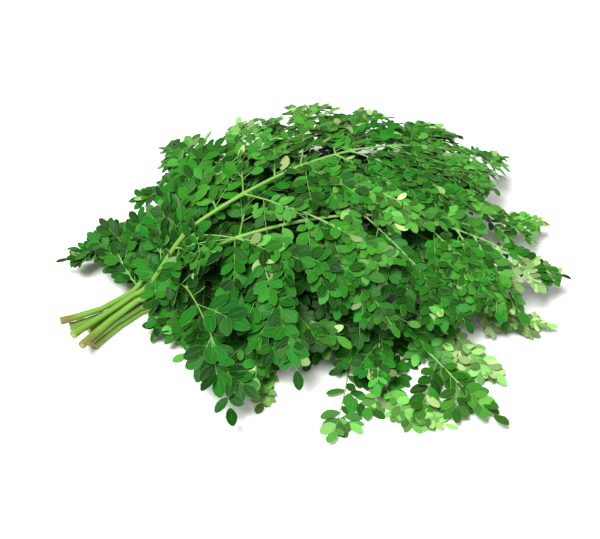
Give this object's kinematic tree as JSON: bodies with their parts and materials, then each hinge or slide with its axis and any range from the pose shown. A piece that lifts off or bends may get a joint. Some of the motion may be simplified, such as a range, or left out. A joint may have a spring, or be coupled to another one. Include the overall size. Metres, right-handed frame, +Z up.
{
  "type": "moringa leaf bunch",
  "caption": "Loose bunch of cut, feathery compound leaves lying as a low heap, with the bare stem ends gathered at one side.",
  "frame": {"origin": "on the surface that the bunch lies on, under the middle of its box", "axes": "+X along the bunch's longest side, from the cut ends of the stems towards the leaf tips; +Z up, along its shortest side; +Y to the left of +X"},
  "size_m": [0.5458, 0.4895, 0.1237],
  "materials": {
    "moringa_leaf": "fresh leaf, satin, mid green above and paler grey-green below"
  },
  "bodies": {
    "root": {"frond_1": "moringa_leaf", "frond_2": "moringa_leaf", "frond_3": "moringa_leaf", "frond_4": "moringa_leaf", "frond_5": "moringa_leaf", "frond_6": "moringa_leaf", "frond_7": "moringa_leaf", "frond_8": "moringa_leaf", "frond_9": "moringa_leaf"}
  },
  "joints": []
}
